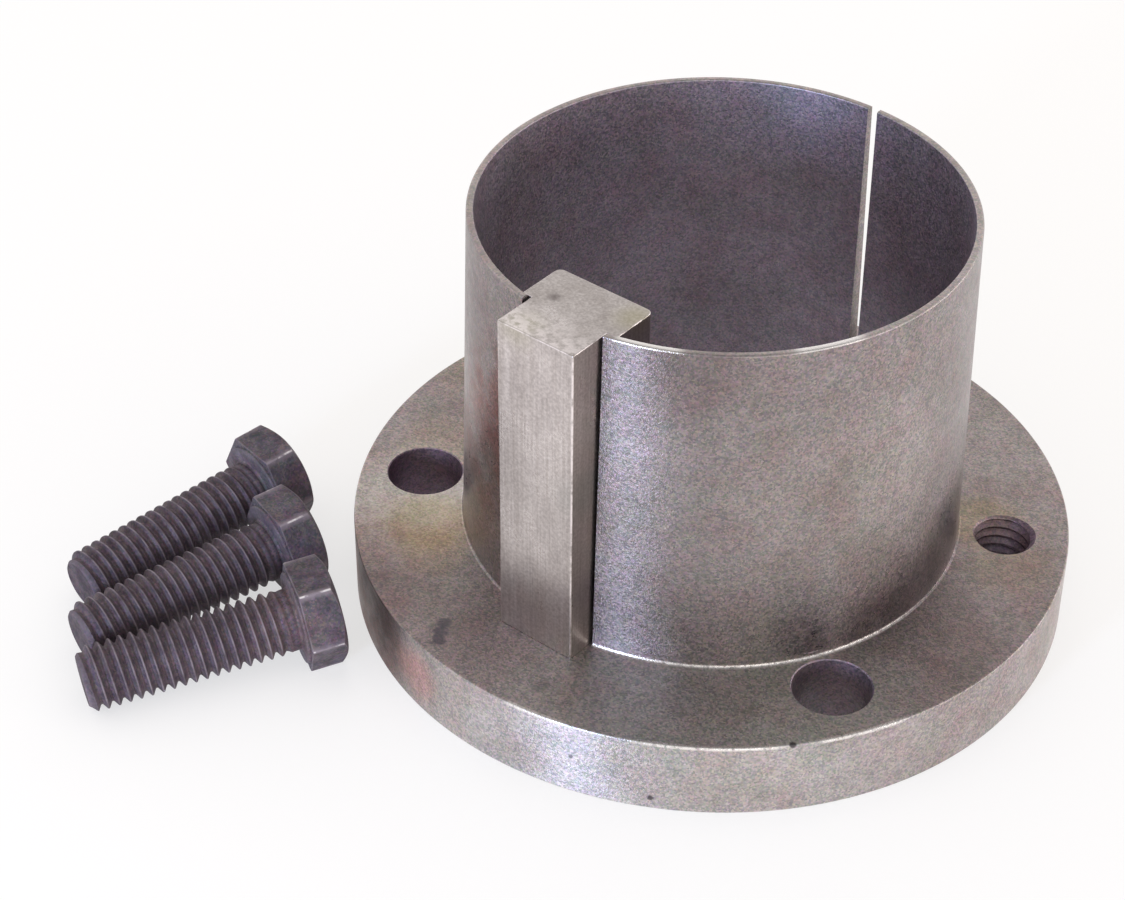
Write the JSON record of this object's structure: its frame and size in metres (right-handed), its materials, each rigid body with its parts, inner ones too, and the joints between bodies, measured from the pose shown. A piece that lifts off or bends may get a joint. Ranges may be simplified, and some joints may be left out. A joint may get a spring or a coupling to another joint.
{
  "type": "flanged taper bushing",
  "caption": "Round flanged taper bushing with a thin split barrel, a stepped key through its wall and loose hex cap screws.",
  "frame": {"origin": "bore axis at the flange's bottom face, which is the face away from the barrel", "axes": "+Z along the bore from the flange to the barrel's small end, -Y towards the key, +X to the right of the key seen from outside"},
  "size_m": [0.1207, 0.1353, 0.0635],
  "materials": {
    "bushing_body": "fine-turned bare steel, lightly stained",
    "stepped_key": "drawn and ground bright steel",
    "cap_screws": "black oxide"
  },
  "bodies": {
    "root": {"bushing_body": "bushing_body", "stepped_key": "stepped_key", "cap_screw_back": "cap_screws", "cap_screw_middle": "cap_screws", "cap_screw_front": "cap_screws"}
  },
  "joints": []
}
